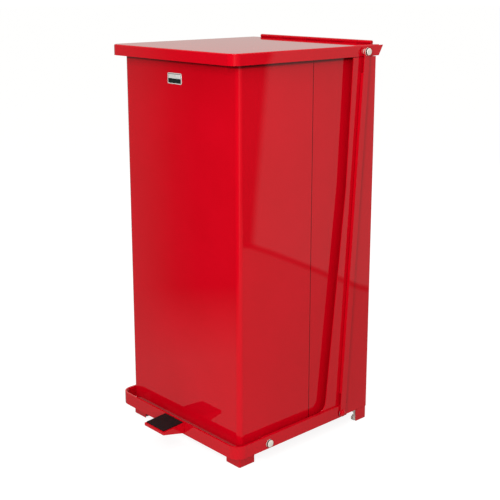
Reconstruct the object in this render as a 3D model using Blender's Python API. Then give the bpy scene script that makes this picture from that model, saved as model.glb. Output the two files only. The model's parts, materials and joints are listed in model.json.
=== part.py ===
"""Step-on steel waste bin: square body on a foot-operated lid linkage.

Metres, +Z up, front of the bin towards -Y. The shapes are drawn about the middle of the body on
the floor, and one empty then carries them all so that the origin is the middle of the whole outline.
"""
import math

import bmesh
import bpy
from mathutils import Matrix, Vector

# clearances
GAP = 0.0003
PIN_PLAY = 0.0003

# body
BODY_WIDTH = 0.343
BODY_DEPTH = 0.365
BODY_BOTTOM = 0.027
BODY_HEIGHT = 0.762
BODY_CORNER = 0.010
BODY_SHEET = 0.0012
RIM_FLANGE = 0.006
SEAM_FROM_FRONT = 0.190
SEAM_LAP = 0.016
FLOOR_SHEET = 0.0015
FLOOR_UPTURN = 0.022

# inner liner
LINER_SHEET = 0.0025
LINER_RIM = 0.0035
LINER_PLAY = 0.003
LINER_TAPER = 0.011
LINER_FLOOR_PLAY = 0.012
LINER_CORNER = 0.024

# lid
BUMPER_HEIGHT = 0.0022
BUMPER_RADIUS = 0.0045
BUMPER_FROM_END = 0.040
LID_SHEET = 0.0015
LID_FLANGE = 0.0215
LID_EDGE = 0.0025
LID_CORNER = 0.018
LID_FRONT_OVERHANG = 0.024
LID_SIDE_OVERHANG = 0.0134
EAR_TOP_REACH = 0.007
EAR_BOTTOM_REACH = -0.0055
EAR_TOP_DROP = 0.0012

# long hinge at the back
HINGE_BACK = 0.003
KNUCKLE_RADIUS = 0.004
HINGE_PIN_RADIUS = 0.0020
KNUCKLES = 9
KNUCKLE_GAP = 0.0006
LEAF_SHEET = 0.0015
LEAF_DROP = 0.058
LEAF_RIVETS = 3

# side frames
FRAME_STANDOFF = 0.0133
FRAME_SHEET = 0.002
FRAME_AHEAD_OF_BACK = 0.011
FRAME_TOP_CLEAR = 0.001
FRAME_TOP_WIDTH = 0.066
FRAME_KINK_WIDTH = 0.079
FRAME_KINK_DROP = 0.2546
FRAME_FOOT_WIDTH = 0.1255
FRAME_FOOT_RISE = 0.032
RAIL_HEIGHT = 0.028
RAIL_FRONT = 0.044
RAIL_FILLET = 0.020
RAIL_NOSE = 0.008
FRAME_TAB = 0.022
FRAME_RIVETS = 2

# feet and glides
FOOT_CLEAR = 0.0008
FOOT_SHEET = 0.002
FOOT_LEG = 0.039
FOOT_CORNER = 0.003
REAR_FOOT_LEG = 0.0315
GLIDE_RADIUS = 0.007
GLIDE_HEIGHT = 0.007
STUD_RADIUS = 0.0025
GLIDE_INSET = 0.0295
GLIDE_FRONT = 0.0105
REAR_GLIDE_IN = 0.0095
REAR_GLIDE_FORWARD = 0.026

# pedal bail
BAIL_ABOVE_BODY = 0.0015
BAIL_HEIGHT = 0.026
BAIL_SHEET = 0.002
BAIL_HEM = 0.0017
BAIL_HEM_HEIGHT = 0.006
BAIL_CORNER = 0.024
BAIL_FRONT_GAP = 0.023
BAIL_WASHER = 0.0017
BAIL_PIVOT_BACK = 0.062
BAIL_PIVOT_UP = 0.011
SLOT_HALF_LENGTH = 0.0103
SLOT_HALF_HEIGHT = 0.0060
BAIL_END = 0.0155

# pedal
PEDAL_HALF = 0.031
PEDAL_REACH = 0.053
PEDAL_SHEET = 0.002
PEDAL_LIP = 0.006
PEDAL_TILT = 0.0035
PEDAL_DROP = 0.001
TREAD_INSET = 0.003
TREAD_HEIGHT = 0.0024
TREAD_EASE = 0.0008
PEDAL_RIVET_IN = 0.013

# push rods
ROD_SHEET = 0.002
ROD_FRAME_CLEAR = 0.0012
ROD_WIDTH = 0.0155
ROD_WASHER = 0.0008
ROD_LUG_LOW = 0.044
ROD_LUG_HIGH = 0.041
ROD_PIN_AHEAD = 0.048
ROD_PIN_UP = 0.0094
ROD_RUN = 0.048
ROD_FOOT_UP = 0.0095

# fasteners
BOLT_RADIUS = 0.003
BOLT_HEAD_RADIUS = 0.0072
BOLT_HEAD_HEIGHT = 0.0045
WASHER_RADIUS = 0.0088
WASHER_SHEET = 0.001
NUT_RADIUS = 0.0052
NUT_HEIGHT = 0.004
RIVET_HEAD_RADIUS = 0.0068
RIVET_HEAD_HEIGHT = 0.004
RIVET_TAIL = 0.0014
RIVET_TAIL_RADIUS = 0.0062
SMALL_RIVET_RADIUS = 0.0016
SMALL_RIVET_HEAD = 0.0032

GUARD = 0.02

# badge
BADGE_WIDTH = 0.042
BADGE_HEIGHT = 0.021
BADGE_CORNER = 0.003
BADGE_SHEET = 0.001
BADGE_X = -0.0095
BADGE_BELOW_TOP = 0.0495

ROUND = 16
CORNER_STEPS = 5

# places worked out from the sizes above
SIDE = BODY_WIDTH / 2
FRONT = -BODY_DEPTH / 2
BACK = BODY_DEPTH / 2
BODY_TOP = BODY_BOTTOM + BODY_HEIGHT
LINER_TOP = BODY_TOP + GAP + LINER_RIM
LID_UNDER = LINER_TOP + GAP + BUMPER_HEIGHT + GAP
LID_TOP = LID_UNDER + LID_SHEET
LID_BOTTOM = LID_TOP - LID_FLANGE
LID_SIDE = SIDE + LID_SIDE_OVERHANG
LID_FRONT = FRONT - LID_FRONT_OVERHANG
HINGE_HALF = SIDE - BODY_CORNER
HINGE_Y = BACK + HINGE_BACK
HINGE_Z = LID_UNDER + KNUCKLE_RADIUS
FRAME_OUT = SIDE + FRAME_STANDOFF
FRAME_IN = FRAME_OUT - FRAME_SHEET
FRAME_TOP = LID_BOTTOM - FRAME_TOP_CLEAR
FRAME_REAR = BACK - FRAME_AHEAD_OF_BACK
FRAME_RIVET_Y = FRAME_REAR - 0.012
LEAF_RIVET_Z = HINGE_Z - 0.040
BAIL_IN = FRAME_OUT + GAP + BAIL_WASHER + GAP
BAIL_OUT = BAIL_IN + BAIL_SHEET
ROD_IN = BAIL_OUT + GAP + ROD_WASHER + GAP
ROD_OUT = ROD_IN + ROD_SHEET
BAIL_FRONT = FRONT - BAIL_FRONT_GAP
BAIL_BOTTOM = BODY_BOTTOM + BAIL_ABOVE_BODY
BAIL_TOP = BAIL_BOTTOM + BAIL_HEIGHT
PIVOT_Y = FRONT + BAIL_PIVOT_BACK
PIVOT_Z = BAIL_BOTTOM + BAIL_PIVOT_UP
PEDAL_RIVET_X = PEDAL_HALF - PEDAL_RIVET_IN
PEDAL_RIVET_Z = BAIL_BOTTOM + BAIL_HEIGHT / 2
ROD_TOP = Vector((0, HINGE_Y - ROD_PIN_AHEAD, LID_BOTTOM + ROD_PIN_UP))
ROD_FOOT = Vector((0, ROD_TOP.y - ROD_RUN, BAIL_BOTTOM + ROD_FOOT_UP))
ROD_LEAN = math.atan2(ROD_TOP.y - ROD_FOOT.y, ROD_TOP.z - ROD_FOOT.z)
ROD_LENGTH = (ROD_TOP - ROD_FOOT).length
OUTLINE_FRONT = BAIL_FRONT - GAP - PEDAL_REACH
OUTLINE_BACK = HINGE_Y + EAR_TOP_REACH
OUTLINE_SHIFT = -(OUTLINE_FRONT + OUTLINE_BACK) / 2

RED = (0.62, 0.006, 0.018, 1)
STEEL = (0.62, 0.62, 0.60, 1)
BLACK = (0.02, 0.02, 0.022, 1)
GREY = (0.10, 0.10, 0.11, 1)


def clear_scene():
    for obj in list(bpy.data.objects):
        bpy.data.objects.remove(obj)


def material(name, colour, roughness, metallic):
    mat = bpy.data.materials.new(name)
    mat.use_nodes = True
    shader = mat.node_tree.nodes["Principled BSDF"]
    shader.inputs["Base Color"].default_value = colour
    shader.inputs["Roughness"].default_value = roughness
    shader.inputs["Metallic"].default_value = metallic
    return mat


def finish(name, bm, look, smooth=False):
    """Turn a bmesh into a named object with its own material."""
    bmesh.ops.remove_doubles(bm, verts=bm.verts, dist=1e-6)
    bmesh.ops.recalc_face_normals(bm, faces=bm.faces)
    mesh = bpy.data.meshes.new(name)
    bm.to_mesh(mesh)
    bm.free()
    if smooth:
        mesh.shade_smooth()
        mesh.set_sharp_from_angle(angle=math.radians(35))
    mesh.materials.append(material(name, *look))
    obj = bpy.data.objects.new(name, mesh)
    bpy.context.scene.collection.objects.link(obj)
    return obj


PAINT = (RED, 0.16, 0.0)
BARE = (STEEL, 0.28, 1.0)
RUBBER = (BLACK, 0.75, 0.0)
PLASTIC = (GREY, 0.45, 0.0)


def arc(cx, cy, radius, start, end, steps):
    """Points on an arc, angles in degrees."""
    return [
        (cx + radius * math.cos(math.radians(start + (end - start) * i / steps)),
         cy + radius * math.sin(math.radians(start + (end - start) * i / steps)))
        for i in range(steps + 1)
    ]


def circle(cx, cy, radius, steps=ROUND):
    return arc(cx, cy, radius, 0, 360 - 360 / steps, steps - 1)


def rounded(x0, y0, x1, y1, radius, steps=CORNER_STEPS):
    """Closed rounded rectangle, counter-clockwise from the low corner."""
    return (
        arc(x0 + radius, y0 + radius, radius, 180, 270, steps)
        + arc(x1 - radius, y0 + radius, radius, 270, 360, steps)
        + arc(x1 - radius, y1 - radius, radius, 0, 90, steps)
        + arc(x0 + radius, y1 - radius, radius, 90, 180, steps)
    )


def place(axis, a, b, c):
    """Point from plate coordinates (a, b) and depth c, for a plate normal to the axis."""
    if axis == "X":
        return (c, a, b)
    if axis == "Y":
        return (a, c, b)
    return (a, b, c)


def plate(outline, holes, axis, low, high, bm=None):
    """Flat plate between two depths along an axis, with holes through it."""
    bm = bm or bmesh.new()
    edges = []
    for loop in [outline] + list(holes):
        verts = [bm.verts.new(place(axis, a, b, low)) for a, b in loop]
        edges += [bm.edges.new((verts[i], verts[(i + 1) % len(verts)])) for i in range(len(verts))]
    filled = bmesh.ops.triangle_fill(bm, use_beauty=True, edges=edges)["geom"]
    faces = [f for f in filled if isinstance(f, bmesh.types.BMFace)]
    moved = bmesh.ops.extrude_face_region(bm, geom=faces)["geom"]
    step = Vector(place(axis, 0, 0, high - low))
    bmesh.ops.translate(bm, verts=[v for v in moved if isinstance(v, bmesh.types.BMVert)], vec=step)
    return bm


def loft(rings):
    """Solid through a list of rings with the same number of points."""
    bm = bmesh.new()
    rows = [[bm.verts.new(p) for p in ring] for ring in rings]
    count = len(rows[0])
    for low, high in zip(rows, rows[1:]):
        for i in range(count):
            j = (i + 1) % count
            bm.faces.new((low[i], low[j], high[j], high[i]))
    bm.faces.new(list(reversed(rows[0])))
    bm.faces.new(rows[-1])
    return bm


def turned(profile, axis, centre, steps=ROUND):
    """Solid of revolution: profile points are (radius, distance along the axis)."""
    rings = []
    for radius, along in profile:
        ring = []
        for k in range(steps):
            u = radius * math.cos(2 * math.pi * k / steps)
            v = radius * math.sin(2 * math.pi * k / steps)
            ring.append(Vector(centre) + Vector(place(axis, u, v, along)))
        rings.append(ring)
    return loft(rings)


def sweep(path, section):
    """Bent sheet: section points are (inward offset, height), carried along an open plan path."""
    points = [Vector(p) for p in path]
    rings = []
    for i, point in enumerate(points):
        before = (point - points[i - 1]).normalized() if i else None
        after = (points[i + 1] - point).normalized() if i + 1 < len(points) else None
        before = before or after
        after = after or before
        normal_a = Vector((-before.y, before.x))
        normal_b = Vector((-after.y, after.x))
        mitre = (normal_a + normal_b).normalized()
        mitre /= max(mitre.dot(normal_a), 0.2)
        rings.append([(point.x + mitre.x * u, point.y + mitre.y * u, z) for u, z in section])
    return loft(rings)


def joined(target, other, operation):
    """Boolean with an exact solver, kept as a modifier; the other solid is a hidden helper."""
    other.hide_render = True
    other.display_type = "WIRE"
    modifier = target.modifiers.new(operation.title(), "BOOLEAN")
    modifier.operation = operation
    modifier.solver = "EXACT"
    modifier.object = other
    return target


def helper(name, bm):
    return finish("helper_" + name, bm, PAINT)


def both(sign, low, high):
    """Depth range on the right side, or its mirror on the left."""
    return sorted((sign * low, sign * high))


def box(x0, y0, z0, x1, y1, z1):
    return plate([(x0, y0), (x1, y0), (x1, y1), (x0, y1)], [], "Z", z0, z1)


def fillet(before, corner, after, radius, steps=CORNER_STEPS):
    """Points of a round drawn into the corner of an outline."""
    c = Vector(corner)
    a = (Vector(before) - c).normalized()
    b = (Vector(after) - c).normalized()
    half = a.angle(b) / 2
    reach = radius / math.tan(half)
    centre = c + (a + b).normalized() * (radius / math.sin(half))
    start = (c + a * reach) - centre
    turn = start.angle_signed((c + b * reach) - centre)
    points = []
    for i in range(steps + 1):
        t = -turn * i / steps
        points.append((centre.x + start.x * math.cos(t) - start.y * math.sin(t),
                       centre.y + start.x * math.sin(t) + start.y * math.cos(t)))
    return points


def pierced(target, name, axis, a, b, low, high, radius):
    """Round hole along an axis."""
    steps = 10 if radius < BOLT_RADIUS else ROUND
    return joined(target, helper(name, plate(circle(a, b, radius, steps), [], axis, low, high)), "DIFFERENCE")


def pivot(name, at, children):
    """Empty on a joint axis, carrying the pieces that turn about it."""
    empty = bpy.data.objects.new(name, None)
    empty.location = at
    bpy.context.scene.collection.objects.link(empty)
    for child in children:
        child.parent = empty
        child.matrix_parent_inverse = Matrix.Translation(-Vector(at))
    return empty


def leaf_rivet_places():
    step = 2 * (HINGE_HALF - 0.02) / (LEAF_RIVETS - 1)
    return [-HINGE_HALF + 0.02 + step * k for k in range(LEAF_RIVETS)]


def frame_rivet_heights():
    low = BODY_BOTTOM + 0.09
    high = FRAME_TOP - 0.07
    return [low + (high - low) * k / (FRAME_RIVETS - 1) for k in range(FRAME_RIVETS)]


def build_body():
    section = [
        (0, BODY_BOTTOM),
        (0, BODY_TOP),
        (RIM_FLANGE, BODY_TOP),
        (RIM_FLANGE, BODY_TOP - BODY_SHEET),
        (BODY_SHEET, BODY_TOP - BODY_SHEET),
        (BODY_SHEET, BODY_BOTTOM),
    ]
    seam = FRONT + SEAM_FROM_FRONT
    r = BODY_CORNER
    front_path = (
        [(-SIDE, seam)]
        + arc(-SIDE + r, FRONT + r, r, 180, 270, CORNER_STEPS)
        + arc(SIDE - r, FRONT + r, r, 270, 360, CORNER_STEPS)
        + [(SIDE, seam)]
    )
    front = finish("body_front_shell", sweep(front_path, section), PAINT, True)
    rear_path = (
        [(SIDE, seam + GAP)]
        + arc(SIDE - r, BACK - r, r, 0, 90, CORNER_STEPS)
        + arc(-SIDE + r, BACK - r, r, 90, 180, CORNER_STEPS)
        + [(-SIDE, seam + GAP)]
    )
    rear = finish("body_rear_shell", sweep(rear_path, section), PAINT, True)
    inner = BODY_SHEET + GAP
    for sign, side in ((-1, "left"), (1, "right")):
        low = seam - SEAM_LAP
        high = seam + GAP + SEAM_LAP
        ends = sorted((sign * (SIDE - inner - BODY_SHEET), sign * (SIDE - inner)))
        strip = plate(
            [(low, BODY_BOTTOM + FLOOR_UPTURN + 0.01), (high, BODY_BOTTOM + FLOOR_UPTURN + 0.01),
             (high, BODY_TOP - BODY_SHEET - 0.01), (low, BODY_TOP - BODY_SHEET - 0.01)],
            [], "X", ends[0], ends[1])
        joined(rear, helper("lap_" + side, strip), "UNION")
        ends = sorted((sign * (SIDE - inner - BODY_SHEET), sign * (SIDE - BODY_SHEET / 2)))
        root = plate(
            [(seam + 0.004, BODY_BOTTOM + FLOOR_UPTURN + 0.012), (high - 0.002, BODY_BOTTOM + FLOOR_UPTURN + 0.012),
             (high - 0.002, BODY_TOP - BODY_SHEET - 0.012), (seam + 0.004, BODY_TOP - BODY_SHEET - 0.012)],
            [], "X", ends[0], ends[1])
        joined(rear, helper("lap_root_" + side, root), "UNION")
    for k, x in enumerate(leaf_rivet_places()):
        pierced(rear, f"leaf_hole_{k}", "Y", x, LEAF_RIVET_Z, BACK - GUARD, BACK + GUARD,
                SMALL_RIVET_RADIUS + PIN_PLAY)
    for k, z in enumerate(frame_rivet_heights()):
        pierced(rear, f"tab_hole_{k}", "X", FRAME_RIVET_Y, z, -SIDE - GUARD, SIDE + GUARD,
                SMALL_RIVET_RADIUS + PIN_PLAY)


def build_floor():
    inset = BODY_SHEET + GAP
    x = SIDE - inset
    y = BODY_DEPTH / 2 - inset
    r = BODY_CORNER - inset
    t = FLOOR_SHEET
    low = BODY_BOTTOM + GAP
    high = low + FLOOR_UPTURN

    def ring(offset, z):
        return [(a, b, z) for a, b in rounded(-x + offset, -y + offset, x - offset, y - offset, r - offset)]

    rings = [ring(0, low), ring(0, high), ring(t, high), ring(t, low + t)]
    return finish("floor_pan", loft(rings), PAINT, True)


def build_liner():
    top_x = SIDE - RIM_FLANGE - LINER_PLAY
    top_y = BODY_DEPTH / 2 - RIM_FLANGE - LINER_PLAY
    rim_x = SIDE - GAP
    rim_y = BODY_DEPTH / 2 - GAP
    floor = BODY_BOTTOM + GAP + FLOOR_SHEET + LINER_FLOOR_PLAY
    under_rim = BODY_TOP + GAP
    t = LINER_SHEET

    def ring(x, y, radius, z):
        return [(a, b, z) for a, b in rounded(-x, -y, x, y, radius)]

    taper = LINER_TAPER
    rings = [
        ring(top_x - taper, top_y - taper, LINER_CORNER, floor),
        ring(top_x, top_y, LINER_CORNER, under_rim),
        ring(rim_x, rim_y, BODY_CORNER, under_rim),
        ring(rim_x, rim_y, BODY_CORNER, LINER_TOP),
        ring(top_x - t, top_y - t, LINER_CORNER - t, LINER_TOP),
        ring(top_x - taper - t, top_y - taper - t, LINER_CORNER - t, floor + t),
    ]
    return finish("inner_liner", loft(rings), PLASTIC, True)


def knuckle_spans(moving):
    """Stretches of the hinge line that belong to the lid, or to the fixed leaf."""
    pitch = 2 * HINGE_HALF / KNUCKLES
    spans = []
    for k in range(KNUCKLES):
        if (k % 2 == 1) == moving:
            low = -HINGE_HALF + k * pitch
            spans.append((low + KNUCKLE_GAP / 2, low + pitch - KNUCKLE_GAP / 2))
    return spans


def knuckle(name, low, high):
    ring = circle(HINGE_Y, HINGE_Z, KNUCKLE_RADIUS, 12)
    hole = circle(HINGE_Y, HINGE_Z, HINGE_PIN_RADIUS + PIN_PLAY, 12)
    return helper(name, plate(ring, [hole], "X", low, high))


def build_lid():
    reach = HINGE_Y + 0.02
    rear = HINGE_Y - KNUCKLE_RADIUS - KNUCKLE_GAP
    edge = LID_EDGE
    t = LID_SHEET

    def ring(offset, z):
        side = LID_SIDE - offset
        outline = rounded(-side, LID_FRONT + offset, side, reach - offset, LID_CORNER - offset)
        return [(a, b, z) for a, b in outline]

    def bend(radius, angle):
        turn = math.radians(angle)
        return ring(edge - radius * math.cos(turn), LID_TOP - edge + radius * math.sin(turn))

    rings = [ring(edge, LID_UNDER)]
    rings += [bend(edge - t, 0), ring(t, LID_BOTTOM), ring(0, LID_BOTTOM)]
    rings += [bend(edge, angle) for angle in (0, 30, 60, 90)]
    lid = finish("lid_pan", loft(rings), PAINT, True)
    rear_cut = box(-LID_SIDE - GUARD, rear, LID_BOTTOM - GUARD, LID_SIDE + GUARD, reach + GUARD, LID_TOP + GUARD)
    joined(lid, helper("lid_rear_cut", rear_cut), "DIFFERENCE")
    low_corner = (HINGE_Y + EAR_BOTTOM_REACH, LID_BOTTOM)
    tip = (HINGE_Y + EAR_TOP_REACH, LID_TOP - EAR_TOP_DROP)
    for sign, side in ((-1, "left"), (1, "right")):
        outline = [(rear - 0.006, LID_BOTTOM), (tip[0], LID_BOTTOM), tip, (rear, tip[1]),
                   (rear, LID_TOP - edge), (rear - 0.006, LID_TOP - edge)]
        ear = plate(outline, [], "X", *both(sign, LID_SIDE - t, LID_SIDE))
        joined(lid, helper("ear_" + side, ear), "UNION")
    slope = (tip[0] - low_corner[0]) / (tip[1] - low_corner[1])
    foot = (low_corner[0] - slope * 0.01, LID_BOTTOM - 0.01)
    wedge = plate([foot, (tip[0] + GUARD, LID_BOTTOM - 0.01), (tip[0] + GUARD, tip[1]), tip], [],
                  "X", -LID_SIDE - GUARD, LID_SIDE + GUARD)
    joined(lid, helper("ear_slant", wedge), "DIFFERENCE")
    comb = [(-HINGE_HALF, rear - 0.008), (HINGE_HALF, rear - 0.008), (HINGE_HALF, rear)]
    for low, high in reversed(knuckle_spans(True)):
        comb += [(high, rear), (high, HINGE_Y), (low, HINGE_Y), (low, rear)]
    comb.append((-HINGE_HALF, rear))
    joined(lid, helper("lid_comb", plate(comb, [], "Z", LID_UNDER, LID_TOP)), "UNION")
    for k, (low, high) in enumerate(knuckle_spans(True)):
        joined(lid, knuckle(f"lid_knuckle_{k}", low, high), "UNION")
    pierced(lid, "lid_pin_hole", "X", ROD_TOP.y, ROD_TOP.z, -LID_SIDE - GUARD, LID_SIDE + GUARD,
            BOLT_RADIUS + PIN_PLAY)
    return lid


def build_hinge():
    low_z = HINGE_Z - LEAF_DROP
    shoulder = HINGE_Z - KNUCKLE_RADIUS - KNUCKLE_GAP
    tab = HINGE_Z - HINGE_PIN_RADIUS - PIN_PLAY - GAP
    comb = [(-HINGE_HALF, low_z), (HINGE_HALF, low_z), (HINGE_HALF, shoulder)]
    for low, high in reversed(knuckle_spans(False)):
        comb += [(high, shoulder), (high, tab), (low, tab), (low, shoulder)]
    comb.append((-HINGE_HALF, shoulder))
    comb = [p for k, p in enumerate(comb) if math.dist(p, comb[k - 1]) > 1e-5]
    holes = [circle(x, LEAF_RIVET_Z, SMALL_RIVET_RADIUS + PIN_PLAY, 10) for x in leaf_rivet_places()]
    near = BACK + GAP
    leaf = finish("hinge_leaf", plate(comb, holes, "Y", near, near + LEAF_SHEET), PAINT)
    for k, (low, high) in enumerate(knuckle_spans(False)):
        joined(leaf, knuckle(f"leaf_knuckle_{k}", low, high), "UNION")
    end = HINGE_HALF + 0.001
    rod = turned([(HINGE_PIN_RADIUS, -end), (HINGE_PIN_RADIUS, end)], "X", (0, HINGE_Y, HINGE_Z), 12)
    finish("hinge_pin", rod, BARE, True)
    for k, x in enumerate(leaf_rivet_places()):
        outer = near + LEAF_SHEET + GAP
        inner = BACK - BODY_SHEET - GAP
        small_rivet(f"leaf_rivet_{k + 1}", "Y", (x, 0, LEAF_RIVET_Z), outer, inner, 1)


def small_rivet(name, axis, centre, head_face, tail_face, sign):
    """Rivet along an axis: head beyond head_face on the sign side, tail beyond tail_face."""
    r = SMALL_RIVET_RADIUS
    wide = SMALL_RIVET_HEAD
    profile = [
        (r * 1.5, tail_face - sign * 0.0012),
        (r * 1.5, tail_face),
        (r, tail_face),
        (r, head_face),
        (wide, head_face),
        (wide * 0.8, head_face + sign * 0.0009),
        (wide * 0.3, head_face + sign * 0.0014),
    ]
    return finish(name, turned(profile, axis, centre, 8), PAINT, True)


def build_frame(sign, side):
    rail_top = BODY_BOTTOM + RAIL_HEIGHT
    kink = (FRAME_REAR - FRAME_KINK_WIDTH, FRAME_TOP - FRAME_KINK_DROP)
    slope = (FRAME_FOOT_WIDTH - FRAME_KINK_WIDTH) / (kink[1] - rail_top - FRAME_FOOT_RISE)
    corner = (kink[0] - slope * (kink[1] - rail_top), rail_top)
    nose = FRONT + RAIL_FRONT
    outline = (
        arc(nose + RAIL_NOSE, BODY_BOTTOM + RAIL_NOSE, RAIL_NOSE, 180, 270, CORNER_STEPS)
        + [(FRAME_REAR, BODY_BOTTOM), (FRAME_REAR, FRAME_TOP), (FRAME_REAR - FRAME_TOP_WIDTH, FRAME_TOP), kink]
        + fillet(kink, corner, (nose, rail_top), RAIL_FILLET)
        + arc(nose + RAIL_NOSE, rail_top - RAIL_NOSE, RAIL_NOSE, 90, 180, CORNER_STEPS)
    )
    hole = circle(PIVOT_Y, PIVOT_Z, BOLT_RADIUS + PIN_PLAY)
    frame = finish("side_frame_" + side, plate(outline, [hole], "X", *both(sign, FRAME_IN, FRAME_OUT)), PAINT)
    t = FRAME_SHEET
    inner = SIDE + GAP
    section = [(FRAME_OUT, FRAME_REAR), (inner, FRAME_REAR), (inner, FRAME_REAR - FRAME_TAB),
               (inner + t, FRAME_REAR - FRAME_TAB), (inner + t, FRAME_REAR - t), (FRAME_OUT, FRAME_REAR - t)]
    section = [(sign * x, y) for x, y in section]
    joined(frame, helper("return_" + side, plate(section, [], "Z", BODY_BOTTOM, FRAME_TOP)), "UNION")
    first = nose + RAIL_NOSE * 1.5
    base = [(inner, first), (FRAME_OUT, first), (FRAME_OUT, FRAME_REAR), (inner, FRAME_REAR)]
    base = [(sign * x, y) for x, y in base]
    joined(frame, helper("rail_base_" + side, plate(base, [], "Z", BODY_BOTTOM, BODY_BOTTOM + t)), "UNION")
    for k, z in enumerate(frame_rivet_heights()):
        low, high = both(sign, inner - 0.004, inner + t + 0.004)
        pierced(frame, f"frame_rivet_hole_{side}_{k}", "X", FRAME_RIVET_Y, z, low, high,
                SMALL_RIVET_RADIUS + PIN_PLAY)
        head = sign * (inner + t + GAP)
        tail = sign * (SIDE - BODY_SHEET - GAP)
        small_rivet(f"frame_rivet_{side}_{k + 1}", "X", (0, FRAME_RIVET_Y, z), head, tail, sign)


def build_foot(name, corner, sign, leg, stud):
    """Corner foot: two plates down to the floor and a top plate that the glide screws into."""
    top = BODY_BOTTOM - GAP
    low = FOOT_CLEAR
    t = FOOT_SHEET

    def outline(offset, extra):
        r = max(FOOT_CORNER - offset, 0.0005)
        points = [(leg[0] + extra, offset)] + [(r + offset - r * math.sin(math.radians(a)),
                                               r + offset - r * math.cos(math.radians(a)))
                                              for a in range(0, 91, 30)]
        points += [(offset, leg[1] + extra), (leg[0] + extra, leg[1] + extra)]
        return [(corner[0] - sign[0] * x, corner[1] - sign[1] * y) for x, y in points]

    foot = finish(name, plate(outline(0, 0), [], "Z", low, top), PAINT)
    pocket = plate(outline(t, 0.01), [], "Z", low - 0.01, top - t)
    joined(foot, helper(name + "_pocket", pocket), "DIFFERENCE")
    pierced(foot, name + "_stud_hole", "Z", stud[0], stud[1], top - t - 0.004, top + 0.004, STUD_RADIUS + PIN_PLAY)
    return foot


def build_glide(name, x, y):
    top = BODY_BOTTOM - GAP
    plate_low = top - FOOT_SHEET
    r = GLIDE_RADIUS
    pad = [(r - 0.001, 0), (r, 0.001), (r, GLIDE_HEIGHT - 0.0015), (r - 0.002, GLIDE_HEIGHT)]
    finish("glide_pad_" + name, turned(pad, "Z", (x, y, 0)), RUBBER, True)
    wide = STUD_RADIUS * 2
    stem = [(wide, GLIDE_HEIGHT + GAP), (wide, GLIDE_HEIGHT + 0.0025), (STUD_RADIUS, GLIDE_HEIGHT + 0.0025),
            (STUD_RADIUS, plate_low - 0.005), (wide, plate_low - 0.005), (wide, plate_low - GAP),
            (STUD_RADIUS, plate_low - GAP), (STUD_RADIUS, top)]
    finish("glide_stud_" + name, turned(stem, "Z", (x, y, 0), 18), BARE, True)


def build_feet():
    for sign, side in ((-1, "left"), (1, "right")):
        x = sign * (SIDE - GLIDE_INSET)
        y = FRONT + GLIDE_FRONT
        build_foot("foot_front_" + side, (sign * SIDE, FRONT), (sign, -1), (FOOT_LEG, FOOT_LEG), (x, y))
        build_glide("front_" + side, x, y)
        x = sign * (FRAME_OUT - REAR_GLIDE_IN)
        y = FRAME_REAR - REAR_GLIDE_FORWARD
        build_foot("foot_rear_" + side, (sign * FRAME_OUT, FRAME_REAR), (sign, 1), (FOOT_LEG, REAR_FOOT_LEG), (x, y))
        build_glide("rear_" + side, x, y)


def build_bail():
    t = BAIL_SHEET
    r = BAIL_CORNER
    end = ROD_FOOT.y + BAIL_END
    path = (
        [(-BAIL_OUT, end)]
        + arc(-BAIL_OUT + r, BAIL_FRONT + r, r, 180, 270, 8)
        + arc(BAIL_OUT - r, BAIL_FRONT + r, r, 270, 360, 8)
        + [(BAIL_OUT, end)]
    )
    section = [(0, BAIL_BOTTOM), (0, BAIL_TOP), (t + BAIL_HEM, BAIL_TOP), (t + BAIL_HEM, BAIL_TOP - BAIL_HEM_HEIGHT),
               (t, BAIL_TOP - BAIL_HEM_HEIGHT), (t, BAIL_BOTTOM)]
    bail = finish("pedal_bail", sweep(path, section), PAINT, True)
    wide = BAIL_OUT + GUARD
    pierced(bail, "bail_pivot_hole", "X", PIVOT_Y, PIVOT_Z, -wide, wide, BOLT_RADIUS + PIN_PLAY)
    slot = rounded(ROD_FOOT.y - SLOT_HALF_LENGTH, ROD_FOOT.z - SLOT_HALF_HEIGHT,
                   ROD_FOOT.y + SLOT_HALF_LENGTH, ROD_FOOT.z + SLOT_HALF_HEIGHT, BOLT_RADIUS)
    joined(bail, helper("bail_slot", plate(slot, [], "X", -wide, wide)), "DIFFERENCE")
    for sign, side in ((-1, "left"), (1, "right")):
        pierced(bail, "bail_rivet_hole_" + side, "Y", sign * PEDAL_RIVET_X, PEDAL_RIVET_Z,
                BAIL_FRONT - 0.005, BAIL_FRONT + 0.01, SMALL_RIVET_RADIUS + PIN_PLAY)
    return bail


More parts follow.
